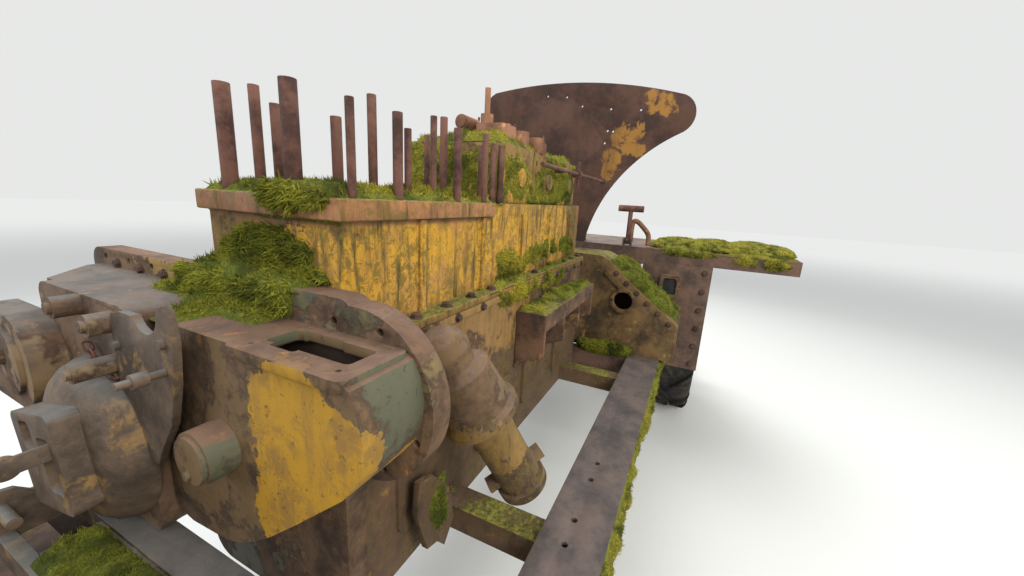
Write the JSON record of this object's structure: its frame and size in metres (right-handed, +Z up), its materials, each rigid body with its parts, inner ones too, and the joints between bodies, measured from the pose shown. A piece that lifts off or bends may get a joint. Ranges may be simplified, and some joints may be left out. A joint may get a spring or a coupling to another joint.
{
  "type": "derelict wheeled logging skidder",
  "caption": "Derelict wheeled logging machine with an open diesel engine, gear case, winch and arch, flared shield plate, deck, steered front wheels and a hinged front blade.",
  "frame": {"origin": "on the floor, under the middle of the bounding box", "axes": "+X points to the front, past the deck to the blade; +Y is the left side; +Z is up"},
  "size_m": [6.8, 3.3, 2.92],
  "materials": {
    "rusty_frame": "heavily rusted steel and cast iron with moss in the corners",
    "dark_rust_plate": "dark, even rust on plate and studs",
    "faded_paint": "faded ochre-yellow paint, flaked back to rust",
    "orange_rust": "bright orange rust",
    "worn_iron": "bluish-grey worn casting with brown rust film",
    "old_tyre": "weathered black tyre rubber",
    "black_rim": "hard black moulded rim, crazed and dull",
    "moss": "thick cushions of living moss",
    "bright_rod": "dulled ground cylinder rod"
  },
  "bodies": {
    "frame": {"rail_left": "rusty_frame", "rail_right": "rusty_frame", "cross_members": "rusty_frame", "nose_frame": "rusty_frame", "rear_axle": "worn_iron", "drive_shaft": "worn_iron", "front_axle": "worn_iron", "crankcase": "rusty_frame", "cylinder_block": "faded_paint", "pistons": "worn_iron", "head_studs": "dark_rust_plate", "cylinder_heads": "faded_paint", "rocker_gear": "orange_rust", "control_shaft": "worn_iron", "side_shelf": "faded_paint", "flange_plate": "faded_paint", "gearbox": "faded_paint", "chain_case": "faded_paint", "bracket_plate": "rusty_frame", "case_nose": "worn_iron", "case_cradle": "rusty_frame", "coolant_pump": "rusty_frame", "front_housing": "rusty_frame", "housing_wall": "rusty_frame", "bulkhead": "rusty_frame", "deck": "rusty_frame", "moss_mats": "moss", "shield_plate": "dark_rust_plate", "seat": "faded_paint", "steering_column": "rusty_frame", "fuel_tank": "faded_paint", "winch_frame": "faded_paint", "arch": "faded_paint", "hitch": "rusty_frame", "radiator": "rusty_frame"},
    "knuckle_l": {"knuckle_left": "worn_iron"},
    "knuckle_r": {"knuckle_right": "worn_iron"},
    "tie_rod_body": {"tie_rod": "worn_iron"},
    "wheel_rl": {"tyre_rear_left": "old_tyre", "rim_rear_left": "faded_paint"},
    "wheel_rr": {"tyre_rear_right": "old_tyre", "rim_rear_right": "faded_paint"},
    "wheel_fl": {"tyre_front_left": "old_tyre", "rim_front_left": "faded_paint"},
    "wheel_fr": {"tyre_front_right": "old_tyre", "rim_front_right": "faded_paint"},
    "drum": {"winch_drum": "worn_iron"},
    "fair_roller_l": {"roller_left": "worn_iron"},
    "fair_roller_r": {"roller_right": "worn_iron"},
    "fair_roller_low": {"roller_low": "worn_iron"},
    "lever": {"clutch_lever": "dark_rust_plate"},
    "hand_wheel": {"steering_wheel": "black_rim"},
    "blade_body": {"blade": "faded_paint"},
    "cylinder_body": {"lift_barrel": "faded_paint"},
    "rod_body": {"lift_rod": "bright_rod"}
  },
  "joints": [
    {"name": "steer_left", "type": "hinge", "parent": "frame", "child": "knuckle_l", "pos_m": [2.3, 0.7, 0.64], "axis": [0, 0, 1], "range_deg": [-28, 28]},
    {"name": "steer_right", "type": "hinge", "parent": "frame", "child": "knuckle_r", "pos_m": [2.3, -0.7, 0.64], "axis": [0, 0, 1], "range_deg": [-28, 28]},
    {"name": "tie_rod_turn", "type": "hinge", "parent": "knuckle_l", "child": "tie_rod_body", "pos_m": [2.1, 0.7, 0.524], "axis": [0, 0, 1], "range_deg": [-28, 28]},
    {"name": "rear_left_roll", "type": "hinge", "parent": "frame", "child": "wheel_rl", "pos_m": [-2.45, 1.1, 0.64], "axis": [0, 1, 0], "continuous": true},
    {"name": "rear_right_roll", "type": "hinge", "parent": "frame", "child": "wheel_rr", "pos_m": [-2.45, -1.1, 0.64], "axis": [0, 1, 0], "continuous": true},
    {"name": "front_left_roll", "type": "hinge", "parent": "knuckle_l", "child": "wheel_fl", "pos_m": [2.3, 0.96, 0.64], "axis": [0, 1, 0], "continuous": true},
    {"name": "front_right_roll", "type": "hinge", "parent": "knuckle_r", "child": "wheel_fr", "pos_m": [2.3, -0.96, 0.64], "axis": [0, 1, 0], "continuous": true},
    {"name": "drum_turn", "type": "hinge", "parent": "frame", "child": "drum", "pos_m": [-2.45, 0, 1.45], "axis": [0, 1, 0], "continuous": true},
    {"name": "roller_left_turn", "type": "hinge", "parent": "frame", "child": "fair_roller_l", "pos_m": [-3.338, 0.1, 2.56], "axis": [0, 0, 1], "continuous": true},
    {"name": "roller_right_turn", "type": "hinge", "parent": "frame", "child": "fair_roller_r", "pos_m": [-3.338, -0.1, 2.56], "axis": [0, 0, 1], "continuous": true},
    {"name": "roller_low_turn", "type": "hinge", "parent": "frame", "child": "fair_roller_low", "pos_m": [-3.223, 0, 2.53], "axis": [0, 1, 0], "continuous": true},
    {"name": "clutch_lever_swing", "type": "hinge", "parent": "frame", "child": "lever", "pos_m": [1.33, -0.48, 1.73], "axis": [0, 1, 0], "range_deg": [-20, 20]},
    {"name": "blade_lift", "type": "hinge", "parent": "frame", "child": "blade_body", "pos_m": [2.65, 0, 0.7], "axis": [0, -1, 0], "range_deg": [0, 30]},
    {"name": "cylinder_swing", "type": "hinge", "parent": "frame", "child": "cylinder_body", "pos_m": [3.03, 0, 1.26], "axis": [0, -1, 0], "range_deg": [0, 4.5]},
    {"name": "rod_slide", "type": "slide", "parent": "cylinder_body", "child": "rod_body", "axis": [-0.0995, 0, 0.995], "range_m": [0, 0.245]},
    {"name": "hand_wheel_turn", "type": "hinge", "parent": "frame", "child": "hand_wheel", "pos_m": [2.01, 0.98, 2.27], "axis": [-0.1366, 0, 0.9906], "range_deg": [-340, 340]}
  ],
  "couplings": [
    {"joint": "steer_right", "follows": "steer_left", "ratio": 1},
    {"joint": "tie_rod_turn", "follows": "steer_left", "ratio": -1},
    {"joint": "hand_wheel_turn", "follows": "steer_left", "ratio": 12},
    {"joint": "cylinder_swing", "follows": "blade_lift", "ratio": 0.1413},
    {"joint": "rod_slide", "follows": "blade_lift", "m_per_rad": 0.4593}
  ]
}
